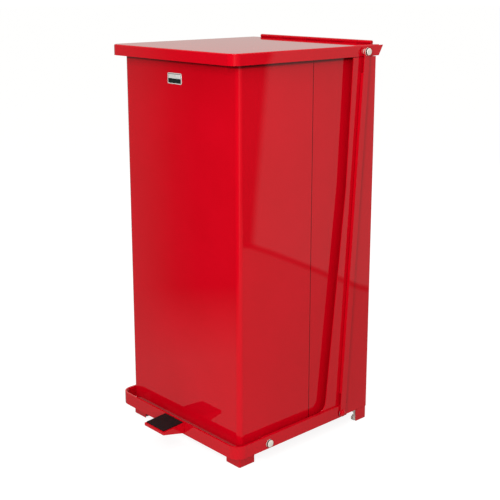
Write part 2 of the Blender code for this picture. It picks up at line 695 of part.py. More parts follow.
def build_pedal():
    t = PEDAL_SHEET
    rear = BAIL_FRONT - GAP
    front = rear - PEDAL_REACH
    high = BAIL_TOP - PEDAL_DROP
    low = high - PEDAL_TILT
    skirt = BAIL_BOTTOM + 0.003
    outer = [(front, low - PEDAL_LIP), (rear, skirt), (rear, high), (front, low)]
    pedal = finish("pedal_plate", plate(outer, [], "X", -PEDAL_HALF, PEDAL_HALF), PAINT)
    inner = [(front + t, skirt - GUARD), (rear - t, skirt - GUARD), (rear - t, high - t), (front + t, low - t)]
    joined(pedal, helper("pedal_pocket", plate(inner, [], "X", -PEDAL_HALF + t, PEDAL_HALF - t)), "DIFFERENCE")
    parts = [pedal]
    for sign, side in ((-1, "left"), (1, "right")):
        x = sign * PEDAL_RIVET_X
        pierced(pedal, "pedal_rivet_hole_" + side, "Y", x, PEDAL_RIVET_Z, rear - t - 0.003, rear + 0.003,
                SMALL_RIVET_RADIUS + PIN_PLAY)
        head = BAIL_FRONT + BAIL_SHEET + GAP
        parts.append(small_rivet("pedal_rivet_" + side, "Y", (x, 0, PEDAL_RIVET_Z), head, rear - t - GAP, 1))
    slope = PEDAL_TILT / PEDAL_REACH
    y0 = front + TREAD_INSET
    y1 = rear - TREAD_INSET / 2
    ease = TREAD_EASE
    outline = [(y, low + slope * (y - front) + lift) for y, lift in (
        (y0, GAP), (y1, GAP), (y1, TREAD_HEIGHT - ease), (y1 - ease, TREAD_HEIGHT), (y0 + ease, TREAD_HEIGHT),
        (y0, TREAD_HEIGHT - ease))]
    half = PEDAL_HALF - TREAD_INSET
    parts.append(finish("pedal_tread", plate(outline, [], "X", -half, half), RUBBER))
    return parts


def build_rod(sign, side):
    """Channel with a flat eye at each end, drawn upright from its foot pin and then leaned."""
    half = ROD_WIDTH / 2
    web = half - ROD_SHEET
    deep = FRAME_OUT + ROD_FRAME_CLEAR
    low = ROD_LUG_LOW
    high = ROD_LENGTH - ROD_LUG_HIGH
    cross = [(ROD_OUT, -half), (ROD_OUT, -web), (ROD_OUT, web), (ROD_OUT, half),
             (ROD_IN, half), (deep, half), (deep, web), (ROD_IN, web),
             (ROD_IN, -web), (deep, -web), (deep, -half), (ROD_IN, -half)]
    bm = bmesh.new()
    rows = [[bm.verts.new((sign * x, y, z)) for x, y in cross] for z in (low, high)]
    for i in range(len(cross)):
        j = (i + 1) % len(cross)
        bm.faces.new((rows[0][i], rows[0][j], rows[1][j], rows[1][i]))
    for row in rows:
        bm.faces.new(row[4:8])
        bm.faces.new(row[8:12])
    for pin, seam, turn in ((0, low, -1), (ROD_LENGTH, high, 1)):
        outline = [(half * math.cos(math.pi * k / ROUND), pin + turn * half * math.sin(math.pi * k / ROUND))
                   for k in range(ROUND + 1)]
        outline += [(-half, seam), (-web, seam), (web, seam), (half, seam)]
        plate(outline, [circle(0, pin, BOLT_RADIUS + PIN_PLAY)], "X", *both(sign, ROD_IN, ROD_OUT), bm)
        ends = [f for f in bm.faces if all(abs(v.co.z - seam) < 1e-6 for v in f.verts)
                and max(abs(v.co.x) for v in f.verts) > ROD_IN + GAP]
        bmesh.ops.delete(bm, geom=ends, context="FACES")
    lean = Matrix.Translation(ROD_FOOT) @ Matrix.Rotation(-ROD_LEAN, 4, "X")
    bmesh.ops.remove_doubles(bm, verts=bm.verts, dist=1e-6)
    bmesh.ops.transform(bm, matrix=lean, verts=bm.verts)
    return finish("push_rod_" + side, bm, PAINT)


def shaft(name, centre, sign, start, points, look, steps=ROUND):
    """Turned fastener on a side of the bin: (radius, distance outwards from the middle plane)."""
    profile = [(radius, sign * (start + along)) for radius, along in points]
    return finish(name, turned(profile, "X", (0, centre[0], centre[1]), steps), look, True)


def washer(name, centre, sign, low, high, radius, look=BARE):
    hole = circle(centre[0], centre[1], BOLT_RADIUS + PIN_PLAY)
    ring = plate(circle(centre[0], centre[1], radius), [hole], "X", *both(sign, low, high))
    return finish(name, ring, look, True)


def nut(name, centre, sign, low, high):
    hole = circle(centre[0], centre[1], BOLT_RADIUS + PIN_PLAY)
    ring = plate(circle(centre[0], centre[1], NUT_RADIUS, 6), [hole], "X", *both(sign, low, high))
    return finish(name, ring, BARE)


def bolt_points(length):
    """Flanged dome-head bolt; the head's seat is at 0 and the shank runs inwards."""
    r = BOLT_HEAD_RADIUS
    h = BOLT_HEAD_HEIGHT
    return [
        (BOLT_RADIUS, -length),
        (BOLT_RADIUS, 0),
        (WASHER_RADIUS, 0),
        (WASHER_RADIUS, WASHER_SHEET),
        (r, WASHER_SHEET),
        (r, WASHER_SHEET + h * 0.6),
        (r * 0.8, WASHER_SHEET + h * 0.9),
        (r * 0.4, WASHER_SHEET + h),
    ]


def build_fasteners(sign, side):
    """Returns the pieces that ride on the lid and those that ride on the rod."""
    top = (ROD_TOP.y, ROD_TOP.z)
    seat = ROD_OUT + GAP
    ear_in = LID_SIDE - LID_SHEET
    nut_low = ear_in - GAP - NUT_HEIGHT
    lid_parts = [
        shaft("lid_pivot_bolt_" + side, top, sign, seat, bolt_points(seat - nut_low + 0.001), BARE),
        washer("lid_pivot_bush_" + side, top, sign, LID_SIDE + GAP, ROD_IN - GAP, BOLT_RADIUS * 2),
        nut("lid_pivot_nut_" + side, top, sign, nut_low, ear_in - GAP),
    ]
    foot = (ROD_FOOT.y, ROD_FOOT.z)
    r = RIVET_HEAD_RADIUS
    h = RIVET_HEAD_HEIGHT
    tail = BAIL_IN - GAP - seat
    points = [(RIVET_TAIL_RADIUS, tail - RIVET_TAIL), (RIVET_TAIL_RADIUS, tail), (BOLT_RADIUS, tail), (BOLT_RADIUS, 0),
              (r, 0), (r * 0.95, h * 0.35), (r * 0.75, h * 0.7), (r * 0.4, h * 0.94), (r * 0.1, h)]
    rod_parts = [
        shaft("rod_foot_rivet_" + side, foot, sign, seat, points, PAINT),
        washer("rod_foot_washer_" + side, foot, sign, BAIL_OUT + GAP, ROD_IN - GAP, ROD_WIDTH / 2),
    ]
    hub = (PIVOT_Y, PIVOT_Z)
    seat = BAIL_OUT + GAP
    nut_low = FRAME_IN - GAP - NUT_HEIGHT
    shaft("bail_pivot_bolt_" + side, hub, sign, seat, bolt_points(seat - nut_low + 0.001), BARE)
    washer("bail_pivot_washer_" + side, hub, sign, FRAME_OUT + GAP, BAIL_IN - GAP, BOLT_RADIUS * 2.4)
    nut("bail_pivot_nut_" + side, hub, sign, nut_low, FRAME_IN - GAP)
    return lid_parts, rod_parts


def build_bumpers():
    x = SIDE - RIM_FLANGE + 0.0005
    z0 = LINER_TOP + GAP
    z1 = LID_UNDER - GAP
    r = BUMPER_RADIUS
    made = []
    for sign, side in ((-1, "left"), (1, "right")):
        for end, y in (("front", FRONT + BUMPER_FROM_END), ("rear", BACK - BUMPER_FROM_END)):
            points = [(r * 0.85, z0), (r, z0 + 0.0005), (r, z1)]
            made.append(finish(f"bumper_{end}_{side}", turned(points, "Z", (sign * x, y, 0), 16), RUBBER, True))
    return made


def build_badge():
    middle = BODY_TOP - BADGE_BELOW_TOP
    half = BADGE_WIDTH / 2
    low = middle - BADGE_HEIGHT / 2
    outline = rounded(BADGE_X - half, low, BADGE_X + half, low + BADGE_HEIGHT, BADGE_CORNER)
    finish("badge_plate", plate(outline, [], "Y", FRONT - GAP - BADGE_SHEET, FRONT - GAP), BARE)


def main():
    clear_scene()
    build_body()
    build_floor()
    build_liner()
    build_feet()
    build_hinge()
    build_badge()
    lid_parts = [build_lid()] + build_bumpers()
    bail_parts = [build_bail()] + build_pedal()
    for sign, side in ((-1, "left"), (1, "right")):
        build_frame(sign, side)
        on_lid, on_rod = build_fasteners(sign, side)
        lid_parts += on_lid
        pivot("rod_pivot_" + side, ROD_TOP, [build_rod(sign, side)] + on_rod)
    pivot("lid_hinge", (0, HINGE_Y, HINGE_Z), lid_parts)
    pivot("bail_pivot", (0, PIVOT_Y, PIVOT_Z), bail_parts)
    loose = [obj for obj in bpy.data.objects if obj.parent is None]
    middle = bpy.data.objects.new("bin_middle", None)
    middle.location = (0, OUTLINE_SHIFT, 0)
    bpy.context.scene.collection.objects.link(middle)
    for obj in loose:
        obj.parent = middle


main()
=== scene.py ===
import json
import math

import bmesh
import bpy
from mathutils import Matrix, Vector


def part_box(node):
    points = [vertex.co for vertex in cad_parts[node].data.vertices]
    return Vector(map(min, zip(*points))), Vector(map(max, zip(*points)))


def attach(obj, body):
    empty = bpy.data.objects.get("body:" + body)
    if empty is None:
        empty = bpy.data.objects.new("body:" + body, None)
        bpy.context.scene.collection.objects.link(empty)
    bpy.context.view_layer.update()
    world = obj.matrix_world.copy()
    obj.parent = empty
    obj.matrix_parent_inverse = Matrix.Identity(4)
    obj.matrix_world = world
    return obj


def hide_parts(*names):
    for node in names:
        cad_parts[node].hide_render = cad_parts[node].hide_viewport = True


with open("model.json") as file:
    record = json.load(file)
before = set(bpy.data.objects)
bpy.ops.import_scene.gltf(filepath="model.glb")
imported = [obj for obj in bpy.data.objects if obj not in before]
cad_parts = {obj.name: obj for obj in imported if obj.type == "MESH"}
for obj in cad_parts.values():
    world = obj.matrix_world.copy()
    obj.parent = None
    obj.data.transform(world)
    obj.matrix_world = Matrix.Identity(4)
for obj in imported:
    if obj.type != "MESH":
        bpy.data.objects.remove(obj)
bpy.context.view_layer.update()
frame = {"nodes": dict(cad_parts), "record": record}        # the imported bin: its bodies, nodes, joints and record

nodes = frame["nodes"]
slotOf = {row["node"]: row["material_slot"] for row in frame["record"]["subparts"]}
bodies = frame["record"]["behaviour"]["bodies"]
bodyOf = {node: body for body, members in bodies.items() for node in members}
scene = bpy.context.scene
scene.view_settings.view_transform = "Standard"
print("bin loaded:", len(nodes), "nodes")


cameraSettings = {
    "place": (1.4556, -1.2983, 0.9223),
    "azimuth": 47.508,          # degrees round from the front
    "pitch": 13.162,            # degrees down
    "lens": 70.21,
    "shiftDown": 0.085,
}
studio = {
    "backdrop": 1.10,           # what the camera sees behind the bin
    "ambient": 0.545,           # soft light from all round
    "floorGlow": 0.88,          # keeps the floor pale right to the horizon
    "floorTone": 0.22,
    "floorBounce": 0.42,
    "floorSize": 60.0,
    "gleamLow": 0.33,           # what the gloss mirrors below the horizon
    "gleamSoftness": 0.004,
    "gleamBlur": 0.035,         # the same, where the floor fades into the wall
    "sideStart": 0.66,          # bearing where the sharp floor line starts
    "skirtingDepth": 0.75,      # the dark line where wall meets floor in the gloss
    "warmth": (1.0, 0.985, 0.935),
    "panelEdge": (0.7557, 0.0873, 0.086),   # the pale panel: bearing of its side, slant, middle height
    "panelGain": 0.44,
    "panelEnd": 1.45,           # bearing where the pale panel fades out
    "panelSoftness": 0.004,
    "endSoftness": 0.15,
    "sideSoftness": 0.02,
}
gleams = [
    # bearing in degrees from the +X axis, brightness mirrored there, height of its lower edge
    (-180, 0.36, 0.34), (-146, 0.30, 0.34), (-144, 0.20, 0.34), (-142.6, 0.08, 0.34),
    (-141, 0.03, 0.34), (-138, 0.03, 0.34), (-112, 0.03, 0.34), (-60, 0.05, 0.32),
    (-46, 0.28, 0.30), (-36, 0.55, 0.28),
    (-24, 0.20, 0.28), (20, 0.08, 0.24), (42.4, 0.07, 0.266), (49.7, 0.07, 0.307), (75, 0.07, 0.33),
    (95, 0.36, 0.33), (118, 0.40, 0.33), (128, 0.60, 0.33), (150, 0.60, 0.34), (165, 0.42, 0.34),
    (180, 0.36, 0.34),
]
lamps = {
    # name: place, aim, width, height, watts, mirrored
    "keyPanel": ((1.12, -1.38, 1.0), (0.15, -0.1, 0.45), 0.5, 1.5, 23, False),
    "topPanel": ((0.6, -0.5, 2.6), (0, 0, 0.5), 1.2, 1.2, 16, True),
    "rearPanel": ((-1.8, 1.9, 1.6), (0, 0, 0.4), 1.2, 1.6, 22, False),
}


def buildCamera(s):
    data = bpy.data.cameras.new("binCamera")
    data.lens = s["lens"]
    data.sensor_width = 36
    data.shift_y = -s["shiftDown"]
    data.clip_end = 200
    cam = bpy.data.objects.new("binCamera", data)
    scene.collection.objects.link(cam)
    a = math.radians(s["azimuth"])
    p = math.radians(s["pitch"])
    back = Vector((math.sin(a) * math.cos(p), -math.cos(a) * math.cos(p), math.sin(p)))
    cam.location = s["place"]
    cam.rotation_euler = (-back).to_track_quat("-Z", "Y").to_euler()
    scene.camera = cam


def mathNode(tree, operation, *values):
    node = tree.nodes.new("ShaderNodeMath")
    node.operation = operation
    for socket, value in zip(node.inputs, values):
        if isinstance(value, bpy.types.NodeSocket):
            tree.links.new(value, socket)
        else:
            socket.default_value = value
    return node.outputs[0]


def buildAir(s):
    # plain white for the camera, an even glow for soft light, and pale and dim bearings for the gloss
    world = bpy.data.worlds.new("studioAir")
    world.use_nodes = True
    scene.world = world
    tree = world.node_tree
    place = tree.nodes.new("ShaderNodeTexCoord")
    split = tree.nodes.new("ShaderNodeSeparateXYZ")
    tree.links.new(place.outputs["Generated"], split.inputs[0])
    bearing = mathNode(tree, "ARCTAN2", split.outputs["Y"], split.outputs["X"])
    share = mathNode(tree, "MULTIPLY_ADD", bearing, 1 / math.tau, 0.5)

    def ramp(column):
        node = tree.nodes.new("ShaderNodeValToRGB")
        stops = node.color_ramp.elements
        while len(stops) < len(gleams):
            stops.new(0.5)
        for stop, row in zip(stops, gleams):
            stop.position = row[0] / 360 + 0.5
            stop.color = (row[column], row[column], row[column], 1)
        tree.links.new(share, node.inputs["Fac"])
        return node.outputs["Color"]

    def step(value, width):
        node = tree.nodes.new("ShaderNodeMapRange")
        node.inputs["From Min"].default_value = -width
        node.inputs["From Max"].default_value = width
        tree.links.new(value, node.inputs["Value"])
        return node.outputs[0]

    start, slant, middle = s["panelEdge"]
    tilt = mathNode(tree, "MULTIPLY_ADD", split.outputs["Z"], slant, start + slant * middle)
    panel = step(mathNode(tree, "SUBTRACT", bearing, tilt), s["panelSoftness"])
    ends = step(mathNode(tree, "SUBTRACT", s["panelEnd"], bearing), s["endSoftness"])
    pale = mathNode(tree, "MULTIPLY", mathNode(tree, "MULTIPLY", panel, ends), s["panelGain"])
    tone = mathNode(tree, "ADD", ramp(1), pale)
    above = mathNode(tree, "ADD", split.outputs["Z"], ramp(2))
    past = step(mathNode(tree, "SUBTRACT", bearing, s["sideStart"]), s["sideSoftness"])
    side = mathNode(tree, "MULTIPLY", past, ends)
    soft, sharp = step(above, s["gleamBlur"]), step(above, s["gleamSoftness"])
    rise = mathNode(tree, "MULTIPLY_ADD", mathNode(tree, "SUBTRACT", sharp, soft), side, soft)
    lift = mathNode(tree, "SUBTRACT", tone, s["gleamLow"])
    gleam = mathNode(tree, "MULTIPLY_ADD", lift, rise, s["gleamLow"])
    # rise times what is left of it peaks at a quarter, halfway up the floor line
    left = mathNode(tree, "SUBTRACT", 1, rise)
    line = mathNode(tree, "MULTIPLY", mathNode(tree, "MULTIPLY", rise, side), left)
    dimmed = mathNode(tree, "MULTIPLY_ADD", line, -4 * s["skirtingDepth"], 1)
    gleam = mathNode(tree, "MULTIPLY", gleam, dimmed)
    path = tree.nodes.new("ShaderNodeLightPath")
    seen = mathNode(tree, "MULTIPLY", path.outputs["Is Camera Ray"], s["backdrop"])
    mirrored = mathNode(tree, "MULTIPLY", path.outputs["Is Glossy Ray"], gleam)
    neither = mathNode(tree, "SUBTRACT", mathNode(tree, "SUBTRACT", 1, path.outputs["Is Camera Ray"]),
                       path.outputs["Is Glossy Ray"])
    glow = mathNode(tree, "MULTIPLY", neither, s["ambient"])
    tree.links.new(mathNode(tree, "ADD", mathNode(tree, "ADD", seen, mirrored), glow),
                   tree.nodes["Background"].inputs["Strength"])
    tree.nodes["Background"].inputs["Color"].default_value = (*s["warmth"], 1)


def buildFloor(s):
    half = s["floorSize"] / 2
    mesh = bpy.data.meshes.new("floor")
    corners = [(-half, -half, 0), (half, -half, 0), (half, half, 0), (-half, half, 0)]
    mesh.from_pydata(corners, [], [(0, 1, 2, 3)])
    floor = bpy.data.objects.new("floor", mesh)
    scene.collection.objects.link(floor)
    floor.visible_glossy = False
    look = bpy.data.materials.new("floorLook")
    look.use_nodes = True
    tree = look.node_tree
    shader = tree.nodes["Principled BSDF"]
    path = tree.nodes.new("ShaderNodeLightPath")
    seen = path.outputs["Is Camera Ray"]
    tone = mathNode(tree, "MULTIPLY_ADD", seen, s["floorTone"] - s["floorBounce"], s["floorBounce"])
    tree.links.new(tone, shader.inputs["Base Color"])
    tree.links.new(mathNode(tree, "MULTIPLY", seen, s["floorGlow"]), shader.inputs["Emission Strength"])
    shader.inputs["Emission Color"].default_value = (1, 1, 1, 1)
    shader.inputs["Roughness"].default_value = 0.8
    shader.inputs["Specular IOR Level"].default_value = 0
    mesh.materials.append(look)


def buildLamps():
    for name, (place, aim, width, height, watts, mirrored) in lamps.items():
        data = bpy.data.lights.new(name, "AREA")
        data.shape = "RECTANGLE"
        data.size = width
        data.size_y = height
        data.energy = watts
        lamp = bpy.data.objects.new(name, data)
        lamp.location = place
        lamp.rotation_euler = (Vector(aim) - Vector(place)).to_track_quat("-Z", "Y").to_euler()
        lamp.visible_glossy = mirrored
        scene.collection.objects.link(lamp)


buildCamera(cameraSettings)
buildAir(studio)
buildFloor(studio)
buildLamps()
print("camera, lights and floor set")


def newMaterial(name):
    look = bpy.data.materials.new(name)
    look.use_nodes = True
    return look, look.node_tree, look.node_tree.nodes["Principled BSDF"]


def surfaceGroup():
    # fine grain and slow waves in one height, with a slow patchiness for roughness and colour
    group = bpy.data.node_groups.new("surfaceGrain", "ShaderNodeTree")
    face = group.interface
    defaults = {"grainSize": 0.001, "grainDepth": 0.5, "waveSize": 0.1, "waveDepth": 0.5,
                "patchSize": 0.05}
    for name, value in defaults.items():
        face.new_socket(name, in_out="INPUT", socket_type="NodeSocketFloat").default_value = value
    for name in ("height", "patch"):
        face.new_socket(name, in_out="OUTPUT", socket_type="NodeSocketFloat")
    new, link = group.nodes.new, group.links.new
    entry, leave = new("NodeGroupInput"), new("NodeGroupOutput")
    place = new("ShaderNodeTexCoord")

    def noise(sizeName, detail):
        scale = new("ShaderNodeMath")
        scale.operation = "DIVIDE"
        scale.inputs[0].default_value = 1
        link(entry.outputs[sizeName], scale.inputs[1])
        texture = new("ShaderNodeTexNoise")
        texture.inputs["Detail"].default_value = detail
        link(place.outputs["Object"], texture.inputs["Vector"])
        link(scale.outputs[0], texture.inputs["Scale"])
        return texture.outputs[0]

    def times(a, b):
        node = new("ShaderNodeMath")
        node.operation = "MULTIPLY"
        link(a, node.inputs[0])
        link(b, node.inputs[1])
        return node.outputs[0]

    total = new("ShaderNodeMath")
    link(times(noise("grainSize", 2), entry.outputs["grainDepth"]), total.inputs[0])
    link(times(noise("waveSize", 0), entry.outputs["waveDepth"]), total.inputs[1])
    link(total.outputs[0], leave.inputs["height"])
    link(noise("patchSize", 3), leave.inputs["patch"])
    return group


surfaceGrain = surfaceGroup()
patchSpan = (0.3, 0.7)        # the part of the patchiness that goes from the dark tone to the light one


def finish(name, s):
    look, tree, shader = newMaterial(name)
    new, link = tree.nodes.new, tree.links.new
    grain = new("ShaderNodeGroup")
    grain.node_tree = surfaceGrain
    for key in ("grainSize", "grainDepth", "waveSize", "waveDepth", "patchSize"):
        grain.inputs[key].default_value = s[key]
    bump = new("ShaderNodeBump")
    bump.inputs["Distance"].default_value = s["relief"]
    link(grain.outputs["height"], bump.inputs["Height"])
    link(bump.outputs["Normal"], shader.inputs["Normal"])
    rough = new("ShaderNodeMapRange")
    rough.inputs["To Min"].default_value = s["roughness"][0]
    rough.inputs["To Max"].default_value = s["roughness"][1]
    link(grain.outputs["patch"], rough.inputs["Value"])
    link(rough.outputs[0], shader.inputs["Roughness"])
    ramp = new("ShaderNodeValToRGB")
    for stop, position, tone in zip(ramp.color_ramp.elements, patchSpan, (s["dark"], s["light"])):
        stop.position = position
        stop.color = (*tone, 1)
    link(grain.outputs["patch"], ramp.inputs["Fac"])
    link(ramp.outputs["Color"], shader.inputs["Base Color"])
    shader.inputs["Metallic"].default_value = s["metallic"]
    shader.inputs["Specular IOR Level"].default_value = s["specular"]
    return look


finishes = {
    "redPaint": {
        "dark": (0.60, 0.0004, 0.008), "light": (0.64, 0.0006, 0.010), "metallic": 0, "specular": 0.5,
        "roughness": (0.006, 0.016), "relief": 0.00002, "grainSize": 0.0016, "grainDepth": 0.10,
        "waveSize": 0.16, "waveDepth": 3.0, "patchSize": 0.12},
    "zincSteel": {
        "dark": (0.84, 0.80, 0.72), "light": (0.95, 0.93, 0.86), "metallic": 0.6, "specular": 0.5,
        "roughness": (0.14, 0.26), "relief": 0.00004, "grainSize": 0.0008, "grainDepth": 0.6,
        "waveSize": 0.01, "waveDepth": 0.3, "patchSize": 0.006},
    "nickelSteel": {
        "dark": (0.92, 0.88, 0.76), "light": (1.0, 0.98, 0.90), "metallic": 0.2, "specular": 0.8,
        "roughness": (0.16, 0.30), "relief": 0.00003, "grainSize": 0.0009, "grainDepth": 0.6,
        "waveSize": 0.004, "waveDepth": 0.5, "patchSize": 0.003},
    # painted shade, put on a bolt's groove between washer and head
    "neckShadow": {
        "dark": (0.016, 0.010, 0.008), "light": (0.03, 0.018, 0.014), "metallic": 0.2, "specular": 0.2,
        "roughness": (0.4, 0.6), "relief": 0.00003, "grainSize": 0.0009, "grainDepth": 0.6,
        "waveSize": 0.004, "waveDepth": 0.5, "patchSize": 0.003},
    "blackRubber": {
        "dark": (0.012, 0.012, 0.013), "light": (0.028, 0.027, 0.028), "metallic": 0, "specular": 0.35,
        "roughness": (0.55, 0.85), "relief": 0.00012, "grainSize": 0.0012, "grainDepth": 1.0,
        "waveSize": 0.02, "waveDepth": 0.2, "patchSize": 0.005},
    "treadRubber": {
        "dark": (0.002, 0.004, 0.005), "light": (0.009, 0.013, 0.014), "metallic": 0, "specular": 0.22,
        "roughness": (0.35, 0.6), "relief": 0.0001, "grainSize": 0.0006, "grainDepth": 1.0,
        "waveSize": 0.02, "waveDepth": 0.2, "patchSize": 0.002},
    "badgeSilver": {
        "dark": (0.80, 0.80, 0.76), "light": (0.95, 0.95, 0.92), "metallic": 0.25, "specular": 0.6,
        "roughness": (0.18, 0.30), "relief": 0.00001, "grainSize": 0.0005, "grainDepth": 0.4,
        "waveSize": 0.01, "waveDepth": 0.2, "patchSize": 0.006},
    "badgeEnamel": {
        "dark": (0.006, 0.012, 0.010), "light": (0.012, 0.022, 0.018), "metallic": 0, "specular": 0.5,
        "roughness": (0.10, 0.20), "relief": 0.00001, "grainSize": 0.0008, "grainDepth": 0.4,
        "waveSize": 0.01, "waveDepth": 0.5, "patchSize": 0.004},
    "greyPlastic": {
        "dark": (0.085, 0.086, 0.09), "light": (0.11, 0.11, 0.115), "metallic": 0, "specular": 0.45,
        "roughness": (0.32, 0.5), "relief": 0.00003, "grainSize": 0.0009, "grainDepth": 0.8,
        "waveSize": 0.08, "waveDepth": 1.0, "patchSize": 0.03},
}
looks = {name: finish(name, s) for name, s in finishes.items()}

seamAndLidShadow = {
    "halfWidth": 0.0007, "softness": 0.0005, "depth": 0.75,
    # the painted shadow close under the lid's edge
    "shadeDrop": 0.0080, "shadeSoftness": 0.0040, "shadeDepth": 0.85,
    "colour": (0.03, 0.001, 0.001),
}


def shellPaintAndShade(s):
    # the body's paint, darker where the rear shell laps the front one, with a painted shadow close under the lid
    look = looks["redPaint"].copy()
    look.name = "shellPaintAndShade"
    tree = look.node_tree
    shader = tree.nodes["Principled BSDF"]
    split = tree.nodes.new("ShaderNodeSeparateXYZ")
    tree.links.new(tree.nodes.new("ShaderNodeTexCoord").outputs["Object"], split.inputs[0])
    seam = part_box("body_front_shell")[1][1]
    away = mathNode(tree, "ABSOLUTE", mathNode(tree, "SUBTRACT", split.outputs["Y"], seam))
    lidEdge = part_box("lid_pan")[0][2]
    under = mathNode(tree, "ABSOLUTE", mathNode(tree, "SUBTRACT", split.outputs["Z"], lidEdge))

    def fade(value, start, softness, depth):
        node = tree.nodes.new("ShaderNodeMapRange")
        node.inputs["From Min"].default_value = start
        node.inputs["From Max"].default_value = start + softness
        node.inputs["To Min"].default_value = depth
        node.inputs["To Max"].default_value = 0
        tree.links.new(value, node.inputs["Value"])
        return node.outputs[0]

    seamMask = fade(away, s["halfWidth"], s["softness"], s["depth"])
    shadeStart = s["shadeDrop"] - s["shadeSoftness"]
    # painted shadow on the body close under the lid's edge
    shadeMask = fade(under, shadeStart, s["shadeSoftness"], s["shadeDepth"])
    mask = mathNode(tree, "MAXIMUM", seamMask, shadeMask)
    mix = tree.nodes.new("ShaderNodeMix")
    mix.data_type = "RGBA"
    tree.links.new(mask, mix.inputs[0])
    tree.links.new(shader.inputs["Base Color"].links[0].from_socket, mix.inputs[6])
    mix.inputs[7].default_value = (*s["colour"], 1)
    tree.links.new(mix.outputs[2], shader.inputs["Base Color"])
    return look


looks["shellPaintAndShade"] = shellPaintAndShade(seamAndLidShadow)
print("finishes made:", ", ".join(looks))


easing = {
    # node: edge radius, segments
    "body_front_shell": (0.0003, 1), "body_rear_shell": (0.0003, 1), "floor_pan": (0.0003, 1),
    "lid_pan": (0.0003, 1), "hinge_leaf": (0.0003, 1), "inner_liner": (0.0004, 1),
    "side_frame_left": (0.0005, 2), "side_frame_right": (0.0005, 2),
    "foot_front_left": (0.0004, 2), "foot_front_right": (0.0004, 2),
    "foot_rear_left": (0.0004, 2), "foot_rear_right": (0.0004, 2),
    "pedal_bail": (0.0008, 2), "pedal_plate": (0.0008, 2),
    "push_rod_left": (0.0007, 2), "push_rod_right": (0.0007, 2),
}
slotLooks = {"red_paint": "redPaint", "bare_steel": "zincSteel", "badge_metal": "zincSteel",
             "rubber": "blackRubber", "liner_plastic": "greyPlastic"}
angles = {"mergeFlats": 0.4, "easeFrom": 40, "sheetSmooth": 32, "turnedSmooth": 30, "treadSmooth": 40}


def newPiece(name, mesh):
    piece = bpy.data.objects.new(name, mesh)
    scene.collection.objects.link(piece)
    return piece


def settle(piece, smoothTo=None):
    # the modifiers' result becomes a plain mesh, shaded smooth up to an angle
    made = bpy.data.meshes.new_from_object(piece.evaluated_get(bpy.context.evaluated_depsgraph_get()))
    piece.modifiers.clear()
    piece.data = made
    if smoothTo is not None:
        made.shade_smooth()
        made.set_sharp_from_angle(angle=math.radians(smoothTo))
    return piece


def standFor(piece, *replaced):
    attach(piece, bodyOf[replaced[0]])
    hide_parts(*replaced)


def mergedCopy(node):
    mesh = bpy.data.meshes.new(node + "_copy")
    bm = bmesh.new()
    bm.from_mesh(nodes[node].data)
    bmesh.ops.remove_doubles(bm, verts=bm.verts, dist=1e-6)
    flatLimit = math.radians(angles["mergeFlats"])
    bmesh.ops.dissolve_limit(bm, angle_limit=flatLimit, verts=bm.verts, edges=bm.edges)
    bm.to_mesh(mesh)
    bm.free()
    if "custom_normal" in mesh.attributes:
        mesh.attributes.remove(mesh.attributes["custom_normal"])
    return mesh


def ease(piece, radius, segments):
    # a worked edge, then normals that keep the flats flat beside it
    bevel = piece.modifiers.new("easing", "BEVEL")
    bevel.width = radius
    bevel.segments = segments
    bevel.limit_method = "ANGLE"
    bevel.angle_limit = math.radians(angles["easeFrom"])
    settle(piece, angles["sheetSmooth"])
    level = piece.modifiers.new("flatNormals", "WEIGHTED_NORMAL")
    level.keep_sharp = True
    return settle(piece)


for node, (radius, segments) in easing.items():
    piece = ease(newPiece(node + "_eased", mergedCopy(node)), radius, segments)
    look = "shellPaintAndShade" if node.startswith("body_") else slotLooks[slotOf[node]]
    piece.data.materials.clear()
    piece.data.materials.append(looks[look])
    standFor(piece, node)
print("sheet pieces eased:", len(easing))


def startTree(name, sizes):
    # an empty Geometry Nodes tree with a named input for each size, for its finish and for the painted shade of a
    # bolt's groove
    tree = bpy.data.node_groups.new(name, "GeometryNodeTree")
    face = tree.interface
    face.new_socket("Geometry", in_out="INPUT", socket_type="NodeSocketGeometry")
    for key, value in sizes.items():
        kind = "NodeSocketInt" if isinstance(value, int) else "NodeSocketFloat"
        face.new_socket(key, in_out="INPUT", socket_type=kind).default_value = value
    for key in ("finish", "neckFinish"):
        face.new_socket(key, in_out="INPUT", socket_type="NodeSocketMaterial")
    face.new_socket("Geometry", in_out="OUTPUT", socket_type="NodeSocketGeometry")
    return tree, tree.nodes.new("NodeGroupInput"), tree.nodes.new("NodeGroupOutput")


def closeTree(tree, entry, leave, geometry):
    real = tree.nodes.new("GeometryNodeRealizeInstances")
    tree.links.new(geometry, real.inputs["Geometry"])
    last = real.outputs["Geometry"]
    for key in ("finish", "neckFinish"):
        paint = tree.nodes.new("GeometryNodeSetMaterial")
        tree.links.new(last, paint.inputs["Geometry"])
        tree.links.new(entry.outputs[key], paint.inputs["Material"])
        last = paint.outputs["Geometry"]
    # the groove's faces take the painted shade
    neck = tree.nodes.new("GeometryNodeInputNamedAttribute")
    neck.data_type = "BOOLEAN"
    neck.inputs["Name"].default_value = "neck"
    tree.links.new(neck.outputs[0], paint.inputs["Selection"])
    tree.links.new(last, leave.inputs["Geometry"])
    return tree


def growPiece(name, mesh, tree, values, smoothTo):
    piece = newPiece(name, mesh)
    grow = piece.modifiers.new("grow", "NODES")
    grow.node_group = tree
    for socket in tree.interface.items_tree:
        if socket.in_out == "INPUT" and socket.name in values:
            grow[socket.identifier] = values[socket.name]
    settle(piece, smoothTo)
    if piece.data.materials[0] is None:
        piece.data.materials.pop(index=0)
    return piece


turnedSizes = {
    "shankRadius": 0.003, "shankLength": 0.01, "washerRadius": 0.0078, "washerSheet": 0.001,
    "neckRadius": 0.0036, "neckHeight": 0.001, "headRadius": 0.0066, "headHeight": 0.0035,
    "doming": 0.0, "around": 32,
}
rimShare = 0.97              # how far a washer's or head's edge is drawn in
flatCrown = 0.12             # the least height of the crown's outer ring, as a share of the dome
weldDistance = 0.00002       # closes the seam and the poles of the turned shape


